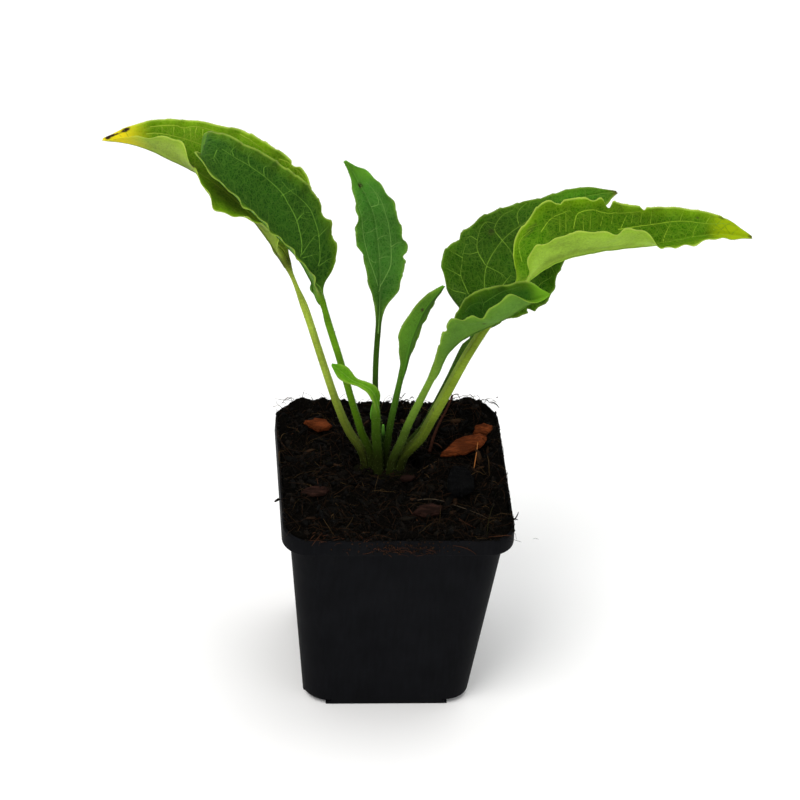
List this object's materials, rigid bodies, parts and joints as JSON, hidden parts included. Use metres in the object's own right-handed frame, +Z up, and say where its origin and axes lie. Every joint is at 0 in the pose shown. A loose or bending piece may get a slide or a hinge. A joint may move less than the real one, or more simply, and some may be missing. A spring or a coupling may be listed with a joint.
{
  "type": "potted coneflower plant",
  "caption": "Young leafy coneflower, not yet in flower, in a square black plastic nursery pot filled with dark potting soil and bark chips.",
  "frame": {"origin": "centre of the pot's foot, on the surface that it stands on", "axes": "+Z up, -Y towards the front of the pot, +X to the right of someone who looks at the front"},
  "size_m": [0.2482, 0.0951, 0.2475],
  "materials": {
    "pot": "black moulded plastic, slightly rubbed",
    "soil": "dark crumbly potting mix with brown fibres",
    "orange_bark": "rough orange-brown bark",
    "dull_bark": "rough dull brown bark",
    "dark_bark": "worn near-black bark",
    "dry_stalk": "dry red-brown stalk",
    "rootstock": "green-brown, fleshy",
    "pale_leaf": "light yellow-green leaf, satin, bristly",
    "dark_leaf": "dark green leaf, satin, bristly"
  },
  "bodies": {
    "root": {"pot": "pot", "potting_soil": "soil", "crown": "rootstock", "leaf_long_left": "pale_leaf", "leaf_dark_left": "dark_leaf", "leaf_upright": "dark_leaf", "leaf_slim": "pale_leaf", "leaf_young": "pale_leaf", "leaf_round_right": "dark_leaf", "leaf_long_right": "pale_leaf", "leaf_curled_right": "dark_leaf", "bark_chip_orange": "orange_bark", "bark_chip_scrap": "orange_bark", "bark_chip_back": "orange_bark", "bark_chip_left": "dull_bark", "bark_chip_front": "dull_bark", "bark_chip_small": "dull_bark", "bark_chip_dark": "dark_bark", "dry_stalk": "dry_stalk"}
  },
  "joints": []
}
